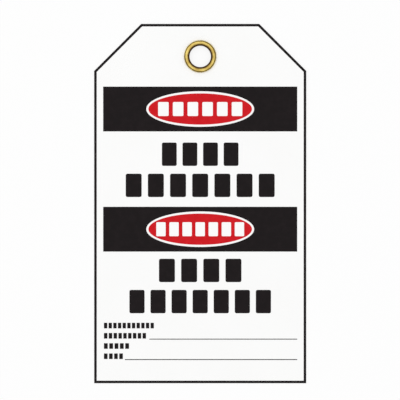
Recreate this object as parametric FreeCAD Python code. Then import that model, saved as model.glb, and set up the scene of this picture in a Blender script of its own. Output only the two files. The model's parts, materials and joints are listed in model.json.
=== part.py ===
import FreeCAD, Part
import math
import os

from FreeCAD import Vector

# A hanging safety tag, lying on its back with its print up. All sizes are in millimetres.
# The origin is at the middle of the tag, on the surface that it lies on.
# +X is to the right as the tag is read, +Y is towards the eyelet, +Z is out of the print.

# The sheet is die-cut from white plastic
sheet_width = 86.2
sheet_length = 146.0
sheet_thickness = 0.4
corner_cut = 19.1

# The eyelet is drawn from thin brass, and its barrel goes through a punched hole
eyelet_metal = 0.35
bore_radius = 4.35
hole_clearance = 0.06
eyelet_from_top = 13.25

# The eyelet's head curls over and stands on the face with a straight lip
head_bend = 0.35
head_flat = 0.8
head_lip = 0.25

# Its other end is clinched into a smaller roll on the back of the sheet
roll_bend = 0.2
roll_flat = 0.5
roll_lip = 0.15

# The print is two films of ink, black and red, on the face of the sheet
ink_thickness = 0.03
edge_line_inset = 0.05
edge_line_width = 1.03
band_side_margin = 3.7
band_height = 18.2
first_band_from_top = 25.5
second_band_from_first = 48.8
window_width = 43.8
window_height = 14.45
window_ring = 0.88

# Plain blocks fill the windows and the space under each band. A row is (how many blocks,
# width of the row), and a window's row is as wide as the window less a margin at both ends.
block_share = 0.72
big_block_height = 9.5
big_row_gap = 3.15
window_block_height = 5.7
panels = [
    {
        "window_blocks": 6,
        "window_row_margin": 4.8,
        "first_row_below_band": 4.5,
        "rows": [(4, 31.1), (7, 60.5)],
    },
    {
        "window_blocks": 7,
        "window_row_margin": 4.05,
        "first_row_below_band": 2.9,
        "rows": [(4, 33.5), (7, 57.5)],
    },
]

# The foot of the tag is a form. Its labels are rows of small blocks, and beside two of them
# a line to write on starts at the place given, counted from the tag's left edge.
label_rows = [(11, 20.3), (9, 17.1), (5, 10.2), (4, 7.7)]
label_height = 2.3
label_pitch = 4.15
label_side_margin = 4.0
last_label_from_bottom = 9.85
writing_line_starts = {1: 22.4, 3: 12.5}
writing_line_thickness = 0.34
writing_line_below_label = 0.03

# Places that follow from the sizes above
barrel_radius = bore_radius + eyelet_metal
hole_radius = barrel_radius + hole_clearance
sheet_back = roll_lip + roll_bend + eyelet_metal
sheet_face = sheet_back + sheet_thickness
top_edge = sheet_length / 2
bottom_edge = -sheet_length / 2
left_edge = -sheet_width / 2
right_edge = sheet_width / 2
eyelet_y = top_edge - eyelet_from_top
print_left = left_edge + band_side_margin
print_right = right_edge - band_side_margin


def outline(inset, z):
    """The tag's outline, moved in by the same distance on every side."""
    # The 45 degree side moves in as well, so less is left to cut off the corner
    cut = corner_cut - inset * (2 - math.sqrt(2))
    left = left_edge + inset
    right = right_edge - inset
    bottom = bottom_edge + inset
    top = top_edge - inset
    corners = [
        Vector(left, bottom, z),
        Vector(right, bottom, z),
        Vector(right, top - cut, z),
        Vector(right - cut, top, z),
        Vector(left + cut, top, z),
        Vector(left, top - cut, z),
    ]
    return Part.Face(Part.makePolygon(corners + corners[:1]))


def make_sheet():
    """The plate with its clipped corners and the hole punched for the eyelet."""
    plate = outline(0, sheet_back).extrude(Vector(0, 0, sheet_thickness))
    punch = Part.makeCylinder(hole_radius, sheet_thickness, Vector(0, eyelet_y, sheet_back))
    return plate.cut(punch)


def bend(centre, side, away, radius):
    """A quarter of a circle in the eyelet's section, from beside its centre to its crown."""
    slant = radius * math.sqrt(0.5)
    beside = centre + Vector(side * radius, 0, 0)
    between = centre + Vector(side * slant, 0, away * slant)
    crown = centre + Vector(0, 0, away * radius)
    return Part.Arc(beside, between, crown).toShape()


def curl(sheet_side, away, lip, bend_radius, flat):
    """The section of one curled end, from the barrel over its flat crown to its lip.

    The lip ends on the sheet, at the height sheet_side. away is 1 upwards and -1 downwards.
    """
    start = sheet_side + away * lip
    barrel_bend = Vector(barrel_radius + bend_radius, 0, start)
    lip_bend = barrel_bend + Vector(flat, 0, 0)
    outer_radius = bend_radius + eyelet_metal
    edges = [bend(barrel_bend, -1, away, outer_radius), bend(lip_bend, 1, away, outer_radius)]
    # The hollow under the curl is closed in by the sheet, so its corners are cut straight
    for centre, side in ((barrel_bend, -1), (lip_bend, 1)):
        beside = centre + Vector(side * bend_radius, 0, 0)
        edges.append(Part.makeLine(beside, centre + Vector(0, 0, away * bend_radius)))
    feet = []
    for radius in (bend_radius, outer_radius):
        up = Vector(0, 0, away * radius)
        edges.append(Part.makeLine(barrel_bend + up, lip_bend + up))
        lip_side = lip_bend + Vector(radius, 0, 0)
        feet.append(Vector(lip_side.x, 0, sheet_side))
        edges.append(Part.makeLine(lip_side, feet[-1]))
    edges.append(Part.makeLine(feet[0], feet[1]))
    return edges


def make_eyelet():
    """One ring of metal of even thickness, turned from its section."""
    section = curl(sheet_face, 1, head_lip, head_bend, head_flat)
    section += curl(sheet_back, -1, roll_lip, roll_bend, roll_flat)
    for radius in (bore_radius, barrel_radius):
        foot = Vector(radius, 0, sheet_back - roll_lip)
        top = Vector(radius, 0, sheet_face + head_lip)
        section.append(Part.makeLine(foot, top))
    profile = Part.Face(Part.Wire(Part.__sortEdges__(section)))
    ring = profile.revolve(Vector(0, 0, 0), Vector(0, 0, 1), 360)
    ring.translate(Vector(0, eyelet_y, 0))
    return ring


def rectangle(left, bottom, width, height):
    """A flat rectangle on the face of the sheet."""
    return Part.makePlane(width, height, Vector(left, bottom, sheet_face))


def oval(centre_y, width, height):
    """A flat ellipse on the face of the sheet, in the middle of its width."""
    curve = Part.Ellipse(Vector(0, centre_y, sheet_face), width / 2, height / 2)
    return Part.Face(Part.Wire(curve.toShape()))


def row_of_blocks(row, left, bottom, height):
    """Blocks of one size, spread evenly over the width of a row."""
    count, row_width = row
    pitch = row_width / (count - 1 + block_share)
    width = pitch * block_share
    return [rectangle(left + place * pitch, bottom, width, height) for place in range(count)]


def centred_row(row, bottom, height):
    """A row of blocks in the middle of the tag's width."""
    return row_of_blocks(row, -row[1] / 2, bottom, height)


def ink(shapes):
    """A film of ink that covers all the flat shapes given."""
    covered = shapes[0].multiFuse(shapes[1:]).removeSplitter()
    return covered.extrude(Vector(0, 0, ink_thickness))


def band_bottom(number):
    """The height on the tag of a band's lower side, counted from the eyelet's end."""
    from_top = first_band_from_top + number * second_band_from_first + band_height
    return top_edge - from_top


def make_panel(number, panel):
    """A panel's black shapes, which are a band and the rows under it, and its red oval."""
    bottom = band_bottom(number)
    middle = bottom + band_height / 2
    window = oval(middle, window_width, window_height)
    band = rectangle(print_left, bottom, print_right - print_left, band_height).cut(window)
    black = [band]
    row_bottom = bottom - panel["first_row_below_band"] - big_block_height
    for row in panel["rows"]:
        black += centred_row(row, row_bottom, big_block_height)
        row_bottom -= big_block_height + big_row_gap
    red = oval(middle, window_width - 2 * window_ring, window_height - 2 * window_ring)
    bare_row = (panel["window_blocks"], window_width - 2 * panel["window_row_margin"])
    bare = centred_row(bare_row, middle - window_block_height / 2, window_block_height)
    return black, red.cut(bare)


def make_form():
    """The small labels, one under the other, and the lines to write on."""
    shapes = []
    for number, row in enumerate(label_rows):
        rows_below = len(label_rows) - 1 - number
        foot = bottom_edge + last_label_from_bottom + rows_below * label_pitch
        left = left_edge + label_side_margin
        shapes += row_of_blocks(row, left, foot, label_height)
        if number in writing_line_starts:
            start = left_edge + writing_line_starts[number]
            line_foot = foot - writing_line_below_label - writing_line_thickness
            shapes.append(
                rectangle(start, line_foot, print_right - start, writing_line_thickness)
            )
    return shapes


def make_print():
    """The black film and the red film, each fused from all the shapes in its colour."""
    inner_edge = edge_line_inset + edge_line_width
    black = [outline(edge_line_inset, sheet_face).cut(outline(inner_edge, sheet_face))]
    red = []
    for number, panel in enumerate(panels):
        panel_black, panel_red = make_panel(number, panel)
        black += panel_black
        red.append(panel_red)
    black += make_form()
    return ink(black), ink(red)


def main():
    os.makedirs("parts", exist_ok=True)
    black_print, red_print = make_print()
    nodes = {
        "tag_sheet": make_sheet(),
        "eyelet": make_eyelet(),
        "black_print": black_print,
        "red_print": red_print,
    }
    for name, shape in nodes.items():
        print(name, "valid", shape.isValid(), "solids", len(shape.Solids))
        print("  volume", round(shape.Volume, 3), "mm3,", shape.BoundBox)
        shape.exportStep("parts/" + name + ".step")


main()
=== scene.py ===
# %% [markdown]
# # A hanging safety tag
# The object is a safety tag: a sheet of white plastic with clipped top corners, a warning
# form printed on its face, and a brass eyelet to hang or tie it by. It lies on its back on
# a white table, and the camera looks straight down on it.
#
# The tag's solids were made in a CAD program and packed. This notebook loads them as a
# fixed frame and never moves or changes them. It measures them, and builds finer pieces
# with real finishes in their places.

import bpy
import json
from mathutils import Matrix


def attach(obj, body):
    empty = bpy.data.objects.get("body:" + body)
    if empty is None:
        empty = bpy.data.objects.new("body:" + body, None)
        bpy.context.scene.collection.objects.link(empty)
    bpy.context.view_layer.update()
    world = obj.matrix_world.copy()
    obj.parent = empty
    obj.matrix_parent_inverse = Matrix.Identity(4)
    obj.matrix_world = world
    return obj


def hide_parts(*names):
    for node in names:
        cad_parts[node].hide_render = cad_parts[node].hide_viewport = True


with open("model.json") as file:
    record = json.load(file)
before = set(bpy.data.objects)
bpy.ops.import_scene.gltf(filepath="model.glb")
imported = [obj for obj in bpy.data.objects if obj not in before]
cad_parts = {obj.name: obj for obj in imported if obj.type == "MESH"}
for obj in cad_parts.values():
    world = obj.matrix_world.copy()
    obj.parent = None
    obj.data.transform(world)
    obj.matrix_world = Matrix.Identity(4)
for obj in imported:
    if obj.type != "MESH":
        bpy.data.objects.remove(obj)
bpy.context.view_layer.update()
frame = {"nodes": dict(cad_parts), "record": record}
print("solids:", sorted(frame["nodes"]))

# %% [markdown]
# ## Measuring the solids
# Blender works in metres, and a tag is easier to think about in millimetres. So all the
# shapes below are worked out in millimetres and scaled once, when a mesh is made.
#
# The places that matter are read from the solids and their record: how high the sheet's two
# sides are, and how wide the eyelet is at its bore, at its head and at its roll on the back.
# Reading them keeps this notebook right when the solids change.

# %% Read a solid's corners
import json
import math

import bpy
import numpy as np
from mathutils import Vector
from mathutils.geometry import delaunay_2d_cdt

MM = 0.001


def corners_of(node):
    """The corners of a node's mesh, in millimetres."""
    vertices = frame["nodes"][node].data.vertices
    flat = np.empty(len(vertices) * 3, np.float32)
    vertices.foreach_get("co", flat)
    return flat.reshape(-1, 3).astype(float) / MM


print("corners of the eyelet's solid:", len(corners_of("eyelet")))

# %% Measure the sheet and the eyelet
same_height = 0.005

sheet_heights = corners_of("tag_sheet")[:, 2]
back_height = sheet_heights.min()
face_height = sheet_heights.max()
ink_height = corners_of("black_print")[:, 2].max()

bore = frame["record"]["mounts"][0]
bore_radius = bore["dims"]["r_mm"]
eyelet_centre = np.array(bore["pos_m"][:2]) / MM


def from_eyelet(points):
    """How far points are from the eyelet's middle, seen from above."""
    return np.hypot(points[..., 0] - eyelet_centre[0], points[..., 1] - eyelet_centre[1])


eyelet_corners = corners_of("eyelet")
below_sheet = eyelet_corners[:, 2] < back_height - same_height
head_radius = from_eyelet(eyelet_corners).max()
roll_radius = from_eyelet(eyelet_corners[below_sheet]).max()
crown_height = eyelet_corners[:, 2].max()
print(f"sheet from {back_height:.2f} to {face_height:.2f} mm, ink up to {ink_height:.2f} mm")
print(f"eyelet: bore {bore_radius:.2f}, head {head_radius:.2f}, roll {roll_radius:.2f} mm")

# %% [markdown]
# ## Outlines
# A flat thing such as a sheet or a film of ink is fully told by its outlines. They could be
# typed in again here, but then they would soon differ from the solids. They are already in
# the solids: where a side of a top face has no other top face beside it, it is part of an
# outline. Walking from side to side gives closed outlines, and because faces go
# anticlockwise, the material is always to the left of the walk, at holes too.

# %% Walk round the top faces
finest_step = 0.001


def top_outlines(node):
    """The outlines of a node's top faces, with the material to the left of each."""
    corners = corners_of(node)
    in_steps = np.round(corners[:, :2] / finest_step).astype(int)
    places = [tuple(place) for place in in_steps.tolist()]
    on_top = corners[:, 2] > corners[:, 2].max() - same_height
    sides = set()
    for face in frame["nodes"][node].data.polygons:
        ring = list(face.vertices)
        if on_top[ring].all():
            sides.update((places[a], places[b]) for a, b in zip(ring, ring[1:] + ring[:1]))
    following = {a: b for a, b in sorted(sides) if (b, a) not in sides}
    outlines = []
    while following:
        first, place = following.popitem()
        outline = [first]
        while place != first:
            outline.append(place)
            place = following.pop(place)
        outlines.append(np.array(outline) * finest_step)
    return outlines


sheet_outlines = top_outlines("tag_sheet")
black_outlines = top_outlines("black_print")
red_outlines = top_outlines("red_print")
print("outlines:", len(sheet_outlines), len(black_outlines), len(red_outlines))

# %% [markdown]
# The solids are faceted: a curve is a chain of straight sides, which shows up close. A
# subdivision would round it, but it would round the straight shapes as well. The corners of
# the chain lie on the true curve, so an ellipse can be fitted through them and stepped out
# finely. A circle is an ellipse too, so the punched hole goes the same way.
#
# The fit is a plain least-squares one: it finds the a, b, c and d for which
# a x^2 + b y^2 + c x + d y is as near as can be to 1 at every corner.

# %% Fit an ellipse
curve_steps = 160


def enclosed_area(outline):
    """The area in an outline. It is below zero where the outline goes clockwise."""
    x, y = outline.T
    return np.sum(x * np.roll(y, -1) - y * np.roll(x, -1)) / 2


def fitted_oval(outline):
    """The ellipse through an outline's corners, in finer steps."""
    middle = outline.mean(axis=0)
    x, y = (outline - middle).T
    terms = np.stack([x * x, y * y, x, y], axis=1)
    a, b, c, d = np.linalg.lstsq(terms, np.ones(len(x)), rcond=None)[0]
    radii = np.sqrt((1 + c * c / (4 * a) + d * d / (4 * b)) / np.array([a, b]))
    direction = np.sign(enclosed_area(outline))
    turn = direction * np.arange(curve_steps) * math.tau / curve_steps
    around = np.stack([np.cos(turn), np.sin(turn)], axis=1)
    return middle - np.array([c / (2 * a), d / (2 * b)]) + radii * around


punched_hole = min(sheet_outlines, key=enclosed_area)
print(f"the punched hole is {np.ptp(fitted_oval(punched_hole)[:, 0]):.2f} mm wide")

# %% [markdown]
# The small printed blocks have sharp corners in the solids. Print spreads a little, and a
# die wears, so real corners are soft. Each corner is replaced by a small curve that starts
# and ends on its two sides: a share of a block's width away from the corner, and a fraction
# of a millimetre on the sheet. Bands and thin lines stay sharp.
#
# Long sides are then cut into short steps, because the tag has to bend as it lies.

# %% Soften corners
corner_steps = 6
sheet_softening = 0.35


def soft_cornered(outline, reach):
    """The outline with a small curve in place of each corner, reach along both its sides."""
    points = []
    before = np.roll(outline, 1, axis=0)
    after = np.roll(outline, -1, axis=0)
    for past, corner, coming in zip(before, outline, after):
        start = corner + (past - corner) / np.linalg.norm(past - corner) * reach
        end = corner + (coming - corner) / np.linalg.norm(coming - corner) * reach
        for share in np.linspace(0, 1, corner_steps):
            left = 1 - share
            points.append(start * left**2 + corner * 2 * share * left + end * share**2)
    return np.array(points)


outer_outline = max(sheet_outlines, key=enclosed_area)
soft_outline = soft_cornered(outer_outline, sheet_softening)
print("points round the sheet:", len(outer_outline), "and with soft corners", len(soft_outline))

# %% Cut long sides into short steps
longest_side = 2.0


def in_short_steps(outline):
    """The outline with more points, so that none of its sides is too long."""
    points = []
    for start, end in zip(outline, np.roll(outline, -1, axis=0)):
        count = math.ceil(np.linalg.norm(end - start) / longest_side)
        points += [start + (end - start) * place / count for place in range(count)]
    return np.array(points)


print("points round the sheet in short steps:", len(in_short_steps(soft_outline)))

# %% Finish the outlines
most_straight_sides = 12
block_softening = 0.13
largest_block = 12.0
thinnest_block = 0.5


def finished(outline, softening):
    """A fitted curve, or straight sides with soft corners."""
    if len(outline) > most_straight_sides:
        return fitted_oval(outline)
    if softening > 0:
        outline = soft_cornered(outline, softening)
    return in_short_steps(outline)


def print_softening(outline):
    """The softening of a printed shape: only blocks have any, not bands, lines or rims."""
    size = np.ptp(outline, axis=0)
    is_block = size.max() < largest_block and size.min() > thinnest_block
    return block_softening * size.min() if is_block else 0


sheet_outlines = [finished(outline, sheet_softening) for outline in sheet_outlines]
black_outlines = [finished(outline, print_softening(outline)) for outline in black_outlines]
red_outlines = [finished(outline, print_softening(outline)) for outline in red_outlines]
print("points on the black print's outlines:", sum(len(outline) for outline in black_outlines))

# %% [markdown]
# ## How the tag lies
# A flat sheet would be simpler, but no real sheet lies quite flat, and the small changes of
# slope are what its gloss shows. The eyelet's roll stands proud of the sheet's back, so the
# sheet starts above the table there. Thin plastic is limp over this length: it droops under
# its own weight and comes to lie on the table before its foot. A heavy strip that is held
# level at one end, at a height h, and touches down at the other, has the height
# h(4u^3 - 3u^4), where u goes from 0 where it touches down to 1 where it is held. The
# stiffness of such a sheet gives about 110 mm for that length.
#
# Tags are cut from a roll, so they keep a trace of its curve across their width, and
# handling leaves a faint wave. The clinched eyelet draws the sheet in around itself. One
# function holds all this, and the sheet and both inks use it, so the print can't leave
# the sheet.

# %% Shape of the lying sheet
level_reach = 7.5
drooping_length = 112.0
resting_gap = 0.02
roll_memory = 0.16
wave_height = 0.045
wave_lengths = (61.0, 83.0)
wave_start = 0.8
calm_reach = 20.0
draw_depth = 0.03
draw_reach = 1.3
half_width = np.ptp(outer_outline[:, 0]) / 2


def lie(points):
    """How far the sheet is above its level place at points given as x and y."""
    x, y = points[..., 0], points[..., 1]
    along = np.clip((eyelet_centre[1] - level_reach - y) / drooping_length, 0, 1)
    held = 1 - along
    droop = (back_height - resting_gap) * (4 * held**3 - 3 * held**4 - 1)
    curl = roll_memory * (x / half_width) ** 2 * along**2
    distance = from_eyelet(points)
    length_wave = np.sin(y * math.tau / wave_lengths[0] + wave_start)
    width_wave = np.cos(x * math.tau / wave_lengths[1])
    away_from_eyelet = 1 - np.exp(-((distance / calm_reach) ** 4))
    wave = wave_height * (1 + length_wave * width_wave) * away_from_eyelet
    draw = draw_depth * np.exp(-(((distance - head_radius) / draw_reach) ** 2))
    return droop + curl + wave - draw


foot = np.array([0.0, outer_outline[:, 1].min()])
print(f"the sheet's back is {back_height + lie(foot):.3f} mm above the table at its foot")

# %% [markdown]
# ## Thin solids
# The sheet and the two inks are made alike. A rim follows each outline from the back to the
# face in a few steps. They move in a little towards the face, which makes a soft edge that
# catches light. The last step lies flat, so that the shading of the edge doesn't bleed over
# the face. Both sides are then filled with triangles between the rims and a grid of points,
# because the solid has to bend as the sheet lies.
#
# A constrained Delaunay triangulation fills any mix of outlines and points. It fills the
# holes too, so triangles whose middle isn't inside the shape are dropped afterwards: a line
# from a point inside crosses the outlines an odd number of times.


# %% Tell what is inside
def is_inside(points, outlines):
    """Which points are inside, by how often a line to their right meets the outlines."""
    starts = np.concatenate(outlines)
    ends = np.concatenate([np.roll(outline, -1, axis=0) for outline in outlines])
    rises = ends[:, 1] - starts[:, 1]
    rises[rises == 0] = 1
    y = points[:, 1:2]
    crossed = (starts[:, 1] > y) != (ends[:, 1] > y)
    meeting = starts[:, 0] + (y - starts[:, 1]) / rises * (ends[:, 0] - starts[:, 0])
    return (crossed & (meeting > points[:, :1])).sum(axis=1) % 2 == 1


middles = np.stack([np.zeros(2), eyelet_centre])
print("plastic at the sheet's and the eyelet's middle:", is_inside(middles, sheet_outlines))

# %% Spread a grid of points
grid_spacing = 3.0
clear_share = 0.55


def grid_inside(outlines):
    """Points on a grid inside the outlines, apart from those close to an outline."""
    on_outlines = np.concatenate(outlines)
    low = on_outlines.min(axis=0) + grid_spacing / 2
    high = on_outlines.max(axis=0)
    x, y = np.meshgrid(*(np.arange(a, b, grid_spacing) for a, b in zip(low, high)))
    grid = np.stack([x.ravel(), y.ravel()], axis=1)
    grid = grid[is_inside(grid, outlines)]
    apart = np.hypot(grid[:, :1] - on_outlines[:, 0], grid[:, 1:] - on_outlines[:, 1])
    return grid[apart.min(axis=1) > grid_spacing * clear_share]


sheet_grid = grid_inside(sheet_outlines)
print("grid points in the sheet:", len(sheet_grid))

# %% [markdown]
# Points that lie in one line upset the triangulation: it may span them with slivers of no
# width. So it works on points that are drawn away from a far corner, more so the further
# they are, which bends each straight side a very little. Only the choice of triangles comes
# from there, and their corners stay where they were.

# %% Fill outlines with triangles
bend_corner = np.array([-150.0, -240.0])
bending = 2e-6
touching = 1e-6
fill_everything = 0


def bent(points):
    """The points drawn away from a far corner, so that straight sides bend."""
    reach = points - bend_corner
    return reach * (1 + bending * np.sum(reach**2, axis=1, keepdims=True))


def triangulated(outlines, points):
    """Triangles between points, of which the first ones go along the outlines."""
    sides = []
    first = 0
    for outline in outlines:
        last = first + len(outline) - 1
        sides += [(place, place + 1) for place in range(first, last)] + [(last, first)]
        first = last + 1
    _, _, faces, sources, _, _ = delaunay_2d_cdt(
        [Vector(point) for point in points], sides, [], fill_everything, touching
    )
    return np.array([[sources[corner][0] for corner in face] for face in faces])


def filled(outlines, inner_points):
    """Anticlockwise triangles, by the places of their corners in outlines and inner_points."""
    outlines = [bent(outline) for outline in outlines]
    points = np.concatenate([*outlines, bent(inner_points)])
    triangles = triangulated(outlines, points)
    a, b, c = (points[triangles[:, corner]] for corner in range(3))
    triangles = triangles[is_inside((a + b + c) / 3, outlines)]
    a, b, c = (points[triangles[:, corner]] for corner in range(3))
    clockwise = np.cross(b - a, c - a) < 0
    triangles[clockwise] = triangles[clockwise][:, ::-1]
    return triangles


print("triangles that fill the sheet:", len(filled(sheet_outlines, sheet_grid)))

# %% [markdown]
# A rim's steps go inwards by the same distance everywhere. Moving each point along the
# middle of its corner does that, if the step is made longer at sharp corners.
#
# The vertices are stacked in layers: the rings of the rim from the back to the face, then
# the inner points of the back, then those of the face. The faces only have to count right.


# %% Walls of a thin solid
def inward_steps(outline):
    """For each point, the step that moves both its sides in by one, into the material."""
    sides = np.roll(outline, -1, axis=0) - outline
    normals = np.stack([-sides[:, 1], sides[:, 0]], axis=1)
    normals /= np.linalg.norm(normals, axis=1, keepdims=True)
    before = np.roll(normals, 1, axis=0)
    return (before + normals) / (1 + np.sum(before * normals, axis=1, keepdims=True))


def walls(outlines, ring_count):
    """The faces that join each ring of a rim to the ring above it."""
    following = []
    for outline in outlines:
        first = len(following)
        following += [*range(first + 1, first + len(outline)), first]
    faces = []
    for ring in range(ring_count - 1):
        lower = ring * len(following)
        upper = lower + len(following)
        for place, after in enumerate(following):
            faces.append((lower + place, lower + after, upper + after, upper + place))
    return faces


print("faces between two rings round the red film:", len(walls(red_outlines, 2)))


# %% Build a thin solid
def thin_solid(outlines, inner_points, rim):
    """Vertices and faces of a thin solid. rim is (how far in, height), from back to face."""
    on_rim = np.concatenate(outlines)
    inward = np.concatenate([inward_steps(outline) for outline in outlines])
    rings = [(on_rim + inward * inset, height) for inset, height in rim]
    layers = rings + [(inner_points, rim[0][1]), (inner_points, rim[-1][1])]
    vertices = [np.column_stack([flat, height + lie(flat)]) for flat, height in layers]

    first_points = np.cumsum([len(outline) for outline in outlines])[:-1]
    triangles = filled(np.split(rings[-1][0], first_points), inner_points)
    is_inner = triangles >= len(on_rim)
    below_face = len(on_rim) * (len(rim) - 1)
    to_back = np.where(is_inner, below_face, 0)
    to_face = np.where(is_inner, below_face + len(inner_points), below_face)
    faces = walls(outlines, len(rim))
    faces += (triangles + to_back)[:, ::-1].tolist()
    faces += (triangles + to_face).tolist()
    return np.concatenate(vertices), faces


# %% Turn vertices and faces into a piece
smooth_up_to = math.radians(62)


def make_piece(name, vertices, faces, node, slot):
    """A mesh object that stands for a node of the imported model."""
    mesh = bpy.data.meshes.new(name)
    mesh.from_pydata((vertices * MM).tolist(), [], faces)
    mesh.shade_smooth()
    mesh.set_sharp_from_angle(angle=smooth_up_to)
    piece = bpy.data.objects.new(name, mesh)
    bpy.context.scene.collection.objects.link(piece)
    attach(piece, "root")
    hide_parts(node)
    print(name, "has", sum(len(face) - 2 for face in faces), "triangles")
    return piece


# %% [markdown]
# ## The sheet
# The sheet is die-cut: the knife enters from the face and rolls its edge down a little, and
# breaks through at the back almost square. A bevel modifier would round both sides alike,
# so the edge is written as steps of a rim instead. Around the punched hole the sheet is
# drawn in by the eyelet, so rings of points there replace the coarse grid.

# %% Make the sheet
sheet_rim = [
    (0.03, back_height),
    (0.0, back_height + 0.03),
    (0.0, face_height - 0.07),
    (0.015, face_height - 0.025),
    (0.04, face_height),
    (0.1, face_height),
]
ring_radii = [5.3, 5.8, 6.3, 6.8, 7.4, 8.1, 9.0, 10.2, 11.8]
points_on_ring = 72

turns = np.arange(points_on_ring) * math.tau / points_on_ring
ring_steps = np.stack([np.cos(turns), np.sin(turns)], axis=1)
ring_points = np.concatenate([eyelet_centre + radius * ring_steps for radius in ring_radii])
beyond_rings = from_eyelet(sheet_grid) > ring_radii[-1] + grid_spacing / 2
inner_points = np.concatenate([ring_points, sheet_grid[beyond_rings]])
sheet = make_piece(
    "plastic_sheet",
    *thin_solid(sheet_outlines, inner_points, sheet_rim),
    "tag_sheet",
    "white_plastic",
)

# %% [markdown]
# ## The print
# The print is two films of ink: a black one for the edge line, the bands, the rows of
# blocks and the lines to write on, and a red one for the two ovals. White isn't printed:
# the sheet shows through gaps in the films.
#
# Ink laid on plastic stands up by a few hundredths of a millimetre with rounded sides. A
# colour painted on the sheet would lose that edge, so each film is a thin solid of its own.
# It reaches a little way into the sheet, because two surfaces at one height would flicker.

# %% Make the two films of ink
ink_rim = [
    (0.0, face_height - 0.01),
    (0.0, face_height + 0.012),
    (0.012, ink_height - 0.004),
    (0.035, ink_height),
    (0.06, ink_height),
]


def ink_film(name, outlines, node, slot):
    """A film of ink inside the outlines, on the face of the sheet."""
    return make_piece(name, *thin_solid(outlines, grid_inside(outlines), ink_rim), node, slot)


black_film = ink_film("black_ink_film", black_outlines, "black_print", "black_ink")
red_film = ink_film("red_ink_film", red_outlines, "red_print", "red_ink")

# %% [markdown]
# ## The eyelet
# An eyelet is one cup of thin brass with its bottom punched out. Its head is curled at the
# factory, so it is even and well rounded. Its other end is set through the tag by a press,
# which rolls the barrel outwards against the back and leaves a slightly uneven lip.
#
# A torus would be too round and would have no straight bore. The natural way is to turn
# the eyelet's section round its axis. Each curled end follows a superellipse,
# |x/a|^n + |z/b|^n = 1. With n at 2.5 it is fuller than an ellipse and still domed at its
# crown, as pressed metal is. The same curve, made smaller by the metal's thickness, gives
# the hidden inner side.

# %% Curves of the eyelet's section
metal = 0.35
fullness = 2.5
foot_softening = 0.04


def curled(radius, height, rise, thickness, steps):
    """Half a superellipse from the bore to radius, which starts and ends at height.

    rise is how far its crown is from there, and it is made smaller by thickness.
    """
    middle = (bore_radius + radius) / 2
    reach = (radius - bore_radius) / 2 - thickness
    turn = np.linspace(math.pi, 0, steps + 1)
    across = np.sign(np.cos(turn)) * np.abs(np.cos(turn)) ** (2 / fullness)
    up = np.sin(turn).clip(0) ** (2 / fullness)
    shorter_rise = rise - thickness * np.sign(rise)
    return np.column_stack([middle + reach * across, height + shorter_rise * up])


def lip_foot(radius, contact, away):
    """The soft end of a lip where it presses on the sheet."""
    return np.array(
        [
            (radius, contact + away * foot_softening),
            (radius - foot_softening, contact),
            (radius - metal + foot_softening, contact),
            (radius - metal, contact + away * foot_softening),
        ]
    )


print("the head and its lip are", round(head_radius - bore_radius, 2), "mm wide")

# %% Section of the eyelet
head_lip = 0.25
roll_lip = 0.15
curl_steps = 26
hidden_steps = 10

head_start = face_height + head_lip
roll_start = back_height - roll_lip
head_rise = crown_height - head_start
section = np.concatenate(
    [
        curled(head_radius, head_start, head_rise, 0, curl_steps),
        lip_foot(head_radius, face_height - draw_depth, 1),
        curled(head_radius, head_start, head_rise, metal, hidden_steps)[::-1],
        curled(roll_radius, roll_start, -roll_start, metal, hidden_steps),
        lip_foot(roll_radius, back_height, -1)[::-1],
        curled(roll_radius, roll_start, -roll_start, 0, curl_steps)[::-1],
    ]
)
print("the eyelet's section has", len(section), "points")

# %% [markdown]
# The section is turned in fine steps. Below the sheet the lip of the roll is pushed in and
# out by a few hundredths of a millimetre, with a slow wave for the press standing off centre
# and a quicker one for the metal's small folds. The unevenness fades to nothing at the bore.

# %% Turn the section
turn_steps = 192
off_centre = 0.035
off_centre_side = 0.6
fold_depth = 0.012
fold_count = 9

turns = np.arange(turn_steps) * math.tau / turn_steps
below = np.clip((back_height + same_height - section[:, 1]) / roll_lip, 0, 1)
towards_lip = np.clip((section[:, 0] - bore_radius) / (roll_radius - bore_radius), 0, 1)
slow_wave = off_centre * np.sin(turns + off_centre_side)
unevenness = (slow_wave + fold_depth * np.sin(fold_count * turns))[:, None]
radii = section[:, 0] + unevenness * (below * towards_lip**2)
ring_vertices = np.stack(
    [
        eyelet_centre[0] + radii * np.cos(turns)[:, None],
        eyelet_centre[1] + radii * np.sin(turns)[:, None],
        np.broadcast_to(section[:, 1], radii.shape),
    ],
    axis=-1,
).reshape(-1, 3)
ring_faces = []
for turn in range(turn_steps):
    here = turn * len(section)
    there = (turn + 1) % turn_steps * len(section)
    for place in range(len(section)):
        after = (place + 1) % len(section)
        ring_faces.append((here + place, here + after, there + after, there + place))
eyelet = make_piece("brass_eyelet", ring_vertices, ring_faces, "eyelet", "brass")

# %% [markdown]
# ## Finishes
# The tag has four finishes: satin plastic, a black and a red ink, and brass. Images could
# be wrapped round the pieces, but they blur close up and stretch at edges. Here every finish
# is made of nodes, worked out from the place on the object, so nothing depends on an image
# or on where the camera stands. A few short helpers add nodes and set or link their inputs,
# which keeps each recipe readable.


# %% Add nodes
def set_inputs(tree, node, inputs):
    """Sets a node's inputs by name or number. A socket among the values is linked."""
    for name, value in inputs.items():
        if isinstance(value, bpy.types.NodeSocket):
            tree.links.new(value, node.inputs[name])
        else:
            node.inputs[name].default_value = value


def add(tree, kind, inputs=(), **settings):
    """A new node with its inputs and settings."""
    node = tree.nodes.new(kind)
    for name, value in settings.items():
        setattr(node, name, value)
    set_inputs(tree, node, dict(inputs))
    return node


# %% Make a group and place it
NUMBER = "NodeSocketFloat"
COLOUR = "NodeSocketColor"


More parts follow.
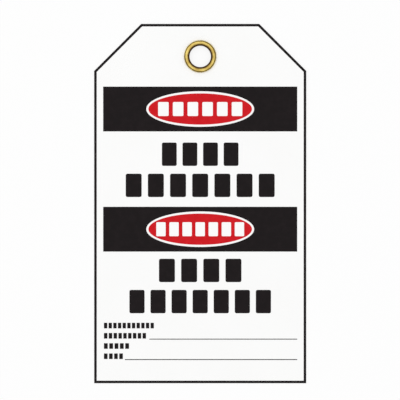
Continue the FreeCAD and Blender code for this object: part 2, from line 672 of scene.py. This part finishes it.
def new_group(name, inputs, outputs):
    """A node group, the sockets of what is given to it, and the node for its results."""
    tree = bpy.data.node_groups.new(name, "ShaderNodeTree")
    for socket, (kind, value) in inputs.items():
        tree.interface.new_socket(socket, in_out="INPUT", socket_type=kind).default_value = value
    for socket, kind in outputs.items():
        tree.interface.new_socket(socket, in_out="OUTPUT", socket_type=kind)
    print("group:", name)
    return tree, tree.nodes.new("NodeGroupInput").outputs, tree.nodes.new("NodeGroupOutput")


def place_group(tree, group, inputs):
    """The outputs of a group that is placed in a material with the material's own values."""
    return add(tree, "ShaderNodeGroup", inputs, node_tree=group).outputs


# %% [markdown]
# ### Grain and slow changes
# No surface is as smooth as a mesh. Plastic, ink and rolled brass all have a fine grain, and
# their gloss drifts slowly from place to place. One group gives both, with the size of the
# grain as its input, so that each material sets its own.


# %% Group: surface grain
def object_place(tree):
    """The place on the object, in metres."""
    return add(tree, "ShaderNodeTexCoord").outputs["Object"]


def noise(tree, place, per_metre, detail, roughness=0.5):
    """A soft noise from 0 to 1, with so many bumps per metre."""
    inputs = {"Vector": place, "Scale": per_metre, "Detail": detail, "Roughness": roughness}
    return add(tree, "ShaderNodeTexNoise", inputs).outputs[0]


def spread(tree, value, low, high, new_low=0.0, new_high=1.0):
    """The value, with low to high stretched smoothly over a new range."""
    inputs = {
        "Value": value,
        "From Min": low,
        "From Max": high,
        "To Min": new_low,
        "To Max": new_high,
    }
    return add(tree, "ShaderNodeMapRange", inputs, interpolation_type="SMOOTHSTEP").outputs[0]


drift_range = (0.3, 0.7)

grain_group, given, result = new_group(
    "surface_grain",
    {"Grain per metre": (NUMBER, 5000.0), "Drift per metre": (NUMBER, 60.0)},
    {"Height": NUMBER, "Drift": NUMBER},
)
place = object_place(grain_group)
height = noise(grain_group, place, given["Grain per metre"], detail=2.0, roughness=0.6)
drift = noise(grain_group, place, given["Drift per metre"], detail=3.0, roughness=0.55)
drift = spread(grain_group, drift, *drift_range)
set_inputs(grain_group, result, {"Height": height, "Drift": drift})

# %% [markdown]
# ### Rubbing marks
# A tag rubs on gloves, tools and other tags. The marks are hairlines: a noise pulled out
# long in one direction, of which only the peaks are kept. Two sets at different angles
# cross each other. They change the gloss and never the colour, which is how such fine
# marks look.


# %% Group: rubbing marks
def calculate(tree, operation, *values):
    """The result of one sum."""
    return add(tree, "ShaderNodeMath", enumerate(values), operation=operation).outputs[0]


def vector_sum(tree, operation, *values):
    """The node of one sum with vectors."""
    return add(tree, "ShaderNodeVectorMath", enumerate(values), operation=operation)


mark_directions = ((0.5, 0.02), (2.2, 0.035))
peaks_of_noise = (0.66, 0.76)

marks_group, given, result = new_group(
    "rubbing_marks",
    {"Marks per metre": (NUMBER, 3000.0), "Strength": (NUMBER, 1.0)},
    {"Marks": NUMBER},
)
place = object_place(marks_group)
mark_sets = []
for angle, stretch in mark_directions:
    turned = add(marks_group, "ShaderNodeMapping", {"Vector": place, "Rotation": (0, 0, angle)})
    pulled = vector_sum(marks_group, "MULTIPLY", turned.outputs[0], (stretch, 1, 1))
    lines = noise(marks_group, pulled.outputs[0], given["Marks per metre"], detail=1.0)
    mark_sets.append(spread(marks_group, lines, *peaks_of_noise))
both_sets = calculate(marks_group, "MAXIMUM", *mark_sets)
marks = calculate(marks_group, "MULTIPLY", both_sets, given["Strength"])
set_inputs(marks_group, result, {"Marks": marks})

# %% [markdown]
# ### Cover of the ink
# Printed colour is never quite even: where the film is thinner, more of what is below shows
# through. One group mixes the full ink with its thinner look in soft spots of a few
# millimetres. Both inks use it with their own two colours.


# %% Group: cover of the ink
def mixed(tree, share, first, second):
    """A colour between two others."""
    # A Mix node has inputs for each kind of value, and 6 and 7 are the two for colours
    inputs = {0: share, 6: first, 7: second}
    return add(tree, "ShaderNodeMix", inputs, data_type="RGBA").outputs[2]


thin_spots = (0.38, 0.72)

cover_group, given, result = new_group(
    "ink_cover",
    {
        "Full ink": (COLOUR, (0, 0, 0, 1)),
        "Thin ink": (COLOUR, (0, 0, 0, 1)),
        "Spots per metre": (NUMBER, 400.0),
    },
    {"Colour": COLOUR},
)
place = object_place(cover_group)
spots = noise(cover_group, place, given["Spots per metre"], detail=4.0, roughness=0.65)
thin = spread(cover_group, spots, *thin_spots)
covered = mixed(cover_group, thin, given["Full ink"], given["Thin ink"])
set_inputs(cover_group, result, {"Colour": covered})


# %% [markdown]
# ### White plastic
# The sheet is satin: a fine grain from the rollers that it was made between spreads the
# reflections. Its cut edge is another surface, drawn down by the knife, so it is a little
# greyer and rougher, with fine lines across its thickness. A second material on the edge's
# faces would end in a hard line. Here the surface's normal tells: where it points sideways,
# that is the edge.


# %% Start the plastic and find its cut edge
def new_material(name):
    """A material with its node tree and its main shader."""
    material = bpy.data.materials.new(name)
    material.use_nodes = True
    print("material:", name)
    return material, material.node_tree, material.node_tree.nodes["Principled BSDF"]


sideways = (0.35, 0.8)

plastic, tree, shader = new_material("white_plastic_satin")
normal = add(tree, "ShaderNodeNewGeometry").outputs["Normal"]
upwards = add(tree, "ShaderNodeSeparateXYZ", {"Vector": normal}).outputs["Z"]
cut_edge = spread(tree, calculate(tree, "ABSOLUTE", upwards), *sideways, 1.0, 0.0)


# %% Gloss and height of the plastic
def gloss(tree, grain, marks, base, drift, rubbed):
    """Roughness from a base value, a slow drift and the rubbing marks."""
    drifted = calculate(tree, "MULTIPLY_ADD", grain["Drift"], drift, base)
    return calculate(tree, "MULTIPLY_ADD", marks["Marks"], rubbed, drifted)


cut_roughness = 0.6
along_thickness = (1, 1, 0.04)
knife_lines_per_metre = 7000.0

grain = place_group(tree, grain_group, {"Grain per metre": 5200.0, "Drift per metre": 45.0})
marks = place_group(tree, marks_group, {"Marks per metre": 3000.0, "Strength": 1.0})
face_gloss = gloss(tree, grain, marks, base=0.4, drift=0.07, rubbed=0.12)
edge_gloss = calculate(tree, "MULTIPLY", cut_edge, cut_roughness)
drawn_out = vector_sum(tree, "MULTIPLY", object_place(tree), along_thickness).outputs[0]
knife_lines = noise(tree, drawn_out, knife_lines_per_metre, detail=2.0)
# Of a Mix node's inputs, 2 and 3 are the two for numbers
heights = {0: cut_edge, 2: grain["Height"], 3: knife_lines}
height = add(tree, "ShaderNodeMix", heights).outputs[0]
print("nodes for the plastic's edge, gloss and height:", len(tree.nodes))


# %% Material: white plastic
def relief(tree, height, depth, strength):
    """A normal from a height of 0 to 1, which stands for depth in millimetres."""
    inputs = {"Height": height, "Distance": depth * MM, "Strength": strength}
    return add(tree, "ShaderNodeBump", inputs).outputs[0]


def give_finish(piece, material):
    """Puts a material on a piece."""
    piece.data.materials.append(material)
    print(f"{piece.name}: {material.name}, made of {len(material.node_tree.nodes)} nodes")


plastic_whites = ((0.95, 0.95, 0.943, 1), (0.96, 0.96, 0.956, 1))
cut_white = (0.84, 0.84, 0.82, 1)

face_colour = mixed(tree, grain["Drift"], *plastic_whites)
plastic_looks = {
    "Base Color": mixed(tree, cut_edge, face_colour, cut_white),
    "Roughness": calculate(tree, "MAXIMUM", face_gloss, edge_gloss),
    "Normal": relief(tree, height, depth=0.02, strength=0.6),
    "Specular IOR Level": 0.4,
}
set_inputs(tree, shader, plastic_looks)
give_finish(sheet, plastic)

# %% [markdown]
# ### Inks
# Screen ink dries to a satin film with a softer grain than the sheet's. Black ink is a very
# dark, slightly warm grey rather than zero, and red is a signal red. A low specular level
# keeps the room from greying the black when it is seen from straight above. Both inks have
# the same recipe, so one function makes both.


# %% Materials: black and red ink
def ink_material(name, full, thin):
    """A satin ink with its full and its thin colour."""
    material, tree, shader = new_material(name)
    grain = place_group(tree, grain_group, {"Grain per metre": 3800.0, "Drift per metre": 70.0})
    marks = place_group(tree, marks_group, {"Marks per metre": 3400.0, "Strength": 0.8})
    colours = {"Full ink": full, "Thin ink": thin, "Spots per metre": 420.0}
    ink_looks = {
        "Base Color": place_group(tree, cover_group, colours)["Colour"],
        "Roughness": gloss(tree, grain, marks, base=0.34, drift=0.1, rubbed=0.14),
        "Normal": relief(tree, grain["Height"], depth=0.02, strength=0.6),
        "Specular IOR Level": 0.12,
    }
    set_inputs(tree, shader, ink_looks)
    return material


full_black = (0.0055, 0.003, 0.0036, 1)
thin_black = (0.0085, 0.005, 0.0058, 1)
full_red = (0.585, 0.004, 0.009, 1)
thin_red = (0.645, 0.008, 0.014, 1)

give_finish(black_film, ink_material("black_ink_satin", full_black, thin_black))
give_finish(red_film, ink_material("red_ink_satin", full_red, thin_red))

# %% [markdown]
# ### Brass
# Rolled brass is a clear yellow metal. Drawing the cup leaves fine lines round its axis, so
# the lines are a noise that depends only on the distance from the axis and on the height.
#
# The brass is painted dark brown deep in the throat and olive where the head
# turns down. Both are painted shade, for the shade that falls in the throat and on the
# steep side of the head. Its outermost edge stays clean brass. The shade could be painted
# on the mesh, but the distance from the axis already tells where each of these is. A true
# circle would look sprayed on, so a noise makes the distance wander a little.

# %% Start the brass and find its distance from the axis
axis = (*(eyelet_centre * MM), 0)
without_height = (1, 1, 0)

brass, tree, shader = new_material("rolled_brass")
place = object_place(tree)
beside_axis = vector_sum(tree, "SUBTRACT", place, axis).outputs[0]
flat = vector_sum(tree, "MULTIPLY", beside_axis, without_height).outputs[0]
distance = vector_sum(tree, "LENGTH", flat).outputs["Value"]

# %% Painted shade of the throat and the rim
blotches_per_metre = 700.0
middle_of_noise = 0.5
shade_wander = 0.4
bright_from_bore = (0.4, 1.15)
bright_to_rim = (0.74, 0.4)
clean_edge = (0.27, 0.0)

blotches = noise(tree, place, blotches_per_metre, detail=4.0)
wander = calculate(tree, "SUBTRACT", blotches, middle_of_noise)
wandering = calculate(tree, "MULTIPLY_ADD", wander, shade_wander * MM, distance)
throat_shade_ends = [(bore_radius + reach) * MM for reach in bright_from_bore]
rim_starts = [(head_radius - reach) * MM for reach in bright_to_rim]
rim_ends = [(head_radius - reach) * MM for reach in clean_edge]
# Painted shade: the throat is painted dark where shade falls deep in the bore
throat_shade = spread(tree, wandering, *throat_shade_ends, 1.0, 0.0)
turned_down = spread(tree, wandering, *rim_starts)
inside_clean_edge = spread(tree, wandering, *rim_ends, 1.0, 0.0)
# Painted shade: an olive band where the head turns down, for the shade on its steep side and at
# its foot
rim = calculate(tree, "MULTIPLY", turned_down, inside_clean_edge)
print(f"brass is bright from {throat_shade_ends[1] / MM:.2f} to {rim_starts[0] / MM:.2f} mm out")

# %% Material: brass
clean_brass = ((0.84, 0.65, 0.20, 1), (0.57, 0.385, 0.09, 1))
# The olive of the rim is painted shade
rim_shade_olive = (0.1, 0.073, 0.015, 1)
rim_shade_cover = 0.9
# The dark brown of the throat is painted shade
throat_shade_brown = (0.05, 0.02, 0.004, 1)
throat_dullness = 0.25
drawing_lines_per_metre = 9000.0
line_share = 0.7

grain = place_group(tree, grain_group, {"Grain per metre": 5000.0, "Drift per metre": 330.0})
marks = place_group(tree, marks_group, {"Marks per metre": 6000.0, "Strength": 1.0})
above = add(tree, "ShaderNodeSeparateXYZ", {"Vector": place}).outputs["Z"]
turned_place = add(tree, "ShaderNodeCombineXYZ", {"X": distance, "Y": above}).outputs[0]
drawing_lines = noise(tree, turned_place, drawing_lines_per_metre, detail=3.0)
height = calculate(tree, "MULTIPLY_ADD", drawing_lines, line_share, grain["Height"])
clean = mixed(tree, grain["Drift"], *clean_brass)
with_rim_shade = mixed(tree, calculate(tree, "MULTIPLY", rim, rim_shade_cover), clean, rim_shade_olive)
metal_gloss = gloss(tree, grain, marks, base=0.24, drift=0.1, rubbed=0.15)
brass_looks = {
    # The throat's painted shade turns the brass into a dull, non-metal brown there
    "Base Color": mixed(tree, throat_shade, with_rim_shade, throat_shade_brown),
    "Metallic": calculate(tree, "SUBTRACT", 1.0, throat_shade),
    "Roughness": calculate(tree, "MULTIPLY_ADD", throat_shade, throat_dullness, metal_gloss),
    "Normal": relief(tree, height, depth=0.014, strength=0.6),
    "Specular IOR Level": 0.05,
}
set_inputs(tree, shader, brass_looks)
give_finish(eyelet, brass)

# %% [markdown]
# ## The table and the page
# The photograph has a pure white page and no strong shadow. A white table that is only lit
# can't be that white unless the tag is lit too brightly. So rays from the camera, and those
# mirrored by the tag, see mostly a plain white of strength 1, and for the rest the real
# table, which keeps the tag's soft shadow. Light that falls on the tag comes from the real
# table only. Far from the tag the page is plain.

# %% Make the table
table_half = 2.0

table_mesh = bpy.data.meshes.new("table")
corners = [(-table_half, -table_half, 0), (table_half, -table_half, 0)]
corners += [(table_half, table_half, 0), (-table_half, table_half, 0)]
table_mesh.from_pydata(corners, [], [(0, 1, 2, 3)])
table = bpy.data.objects.new("table", table_mesh)
bpy.context.scene.collection.objects.link(table)
print("table:", 2 * table_half, "m wide")

# %% Material: table
white = (1, 1, 1, 1)
table_colour = (0.93, 0.93, 0.93, 1)
page_share = 0.8
shadow_end = (0.16, 0.4)

table_white, tree, shader = new_material("table_white")
set_inputs(tree, shader, {"Base Color": table_colour, "Roughness": 0.9})
path = add(tree, "ShaderNodeLightPath").outputs
seen = calculate(tree, "MAXIMUM", path["Is Camera Ray"], path["Is Glossy Ray"])
seen = calculate(tree, "MAXIMUM", seen, path["Is Transmission Ray"])
away = vector_sum(tree, "LENGTH", object_place(tree)).outputs["Value"]
page_there = spread(tree, away, *shadow_end, page_share, 1.0)
share = calculate(tree, "MULTIPLY", seen, page_there)
page = add(tree, "ShaderNodeEmission", {"Color": white, "Strength": 1.0})
# The two shaders that are mixed both go into inputs called Shader, so these are numbered
shaders = {0: share, 1: shader.outputs[0], 2: page.outputs[0]}
surface = add(tree, "ShaderNodeMixShader", shaders).outputs[0]
set_inputs(tree, tree.nodes["Material Output"], {"Surface": surface})
give_finish(table, table_white)

# %% [markdown]
# ## Light
# A studio's white room is the world here: brighter overhead than at the horizon, which gives
# the brass a bright crown and darker sides. An even room alone would leave no direction in
# the light. So one large soft lamp adds one, high up beyond the tag's upper left corner, and
# the edges and the grain read. The camera sees the world as white.

# %% The white room
horizon_level = 0.5
overhead_level = 1.12

world = bpy.data.worlds.new("white_room")
world.use_nodes = True
bpy.context.scene.world = world
tree = world.node_tree
room = tree.nodes["Background"]
direction = add(tree, "ShaderNodeTexCoord").outputs["Generated"]
upwards = add(tree, "ShaderNodeSeparateXYZ", {"Vector": direction}).outputs["Z"]
levels = {"Value": upwards, "To Min": horizon_level, "To Max": overhead_level}
level = add(tree, "ShaderNodeMapRange", levels).outputs[0]
set_inputs(tree, room, {"Color": white, "Strength": level})
page = add(tree, "ShaderNodeBackground", {"Color": white, "Strength": 1.0})
camera_ray = add(tree, "ShaderNodeLightPath").outputs["Is Camera Ray"]
views = {0: camera_ray, 1: room.outputs[0], 2: page.outputs[0]}
surround = add(tree, "ShaderNodeMixShader", views).outputs[0]
set_inputs(tree, tree.nodes["World Output"], {"Surface": surround})
print("room:", horizon_level, "at the horizon,", overhead_level, "overhead")

# %% The soft lamp
lamp_place = Vector((-1.0, 1.1, 1.65))
lamp_size = 1.2
lamp_share = 0.14

lamp_data = bpy.data.lights.new("soft_lamp", "AREA")
lamp_data.size = lamp_size
# Light falls off with the square of the distance, so the power grows by the same square
lamp_data.energy = lamp_share * math.pi**2 * lamp_place.length_squared
lamp = bpy.data.objects.new("soft_lamp", lamp_data)
lamp.location = lamp_place
lamp.rotation_euler = lamp_place.to_track_quat("Z", "Y").to_euler()
bpy.context.scene.collection.objects.link(lamp)
print(f"lamp of {lamp_data.energy:.2f} W at {lamp_place.length:.2f} m")

# %% [markdown]
# ## Camera
# The photograph is taken square on, with no vanishing lines, so the lens is long and looks
# straight down. Its distance follows from the width of the picture at the tag's face, and
# its place from where the tag's middle is in the picture.

# %% Place the camera
lens_length = 300.0
picture_width = 162.4
picture_middle = (-0.08, 1.46)

camera_data = bpy.data.cameras.new("camera")
camera_data.lens = lens_length
camera_distance = picture_width * lens_length / camera_data.sensor_width
camera = bpy.data.objects.new("camera", camera_data)
camera.location = Vector((*picture_middle, face_height + camera_distance)) * MM
bpy.context.scene.collection.objects.link(camera)
bpy.context.scene.camera = camera
bpy.context.scene.view_settings.view_transform = "Standard"
print(f"camera {camera_distance * MM:.2f} m above the tag")
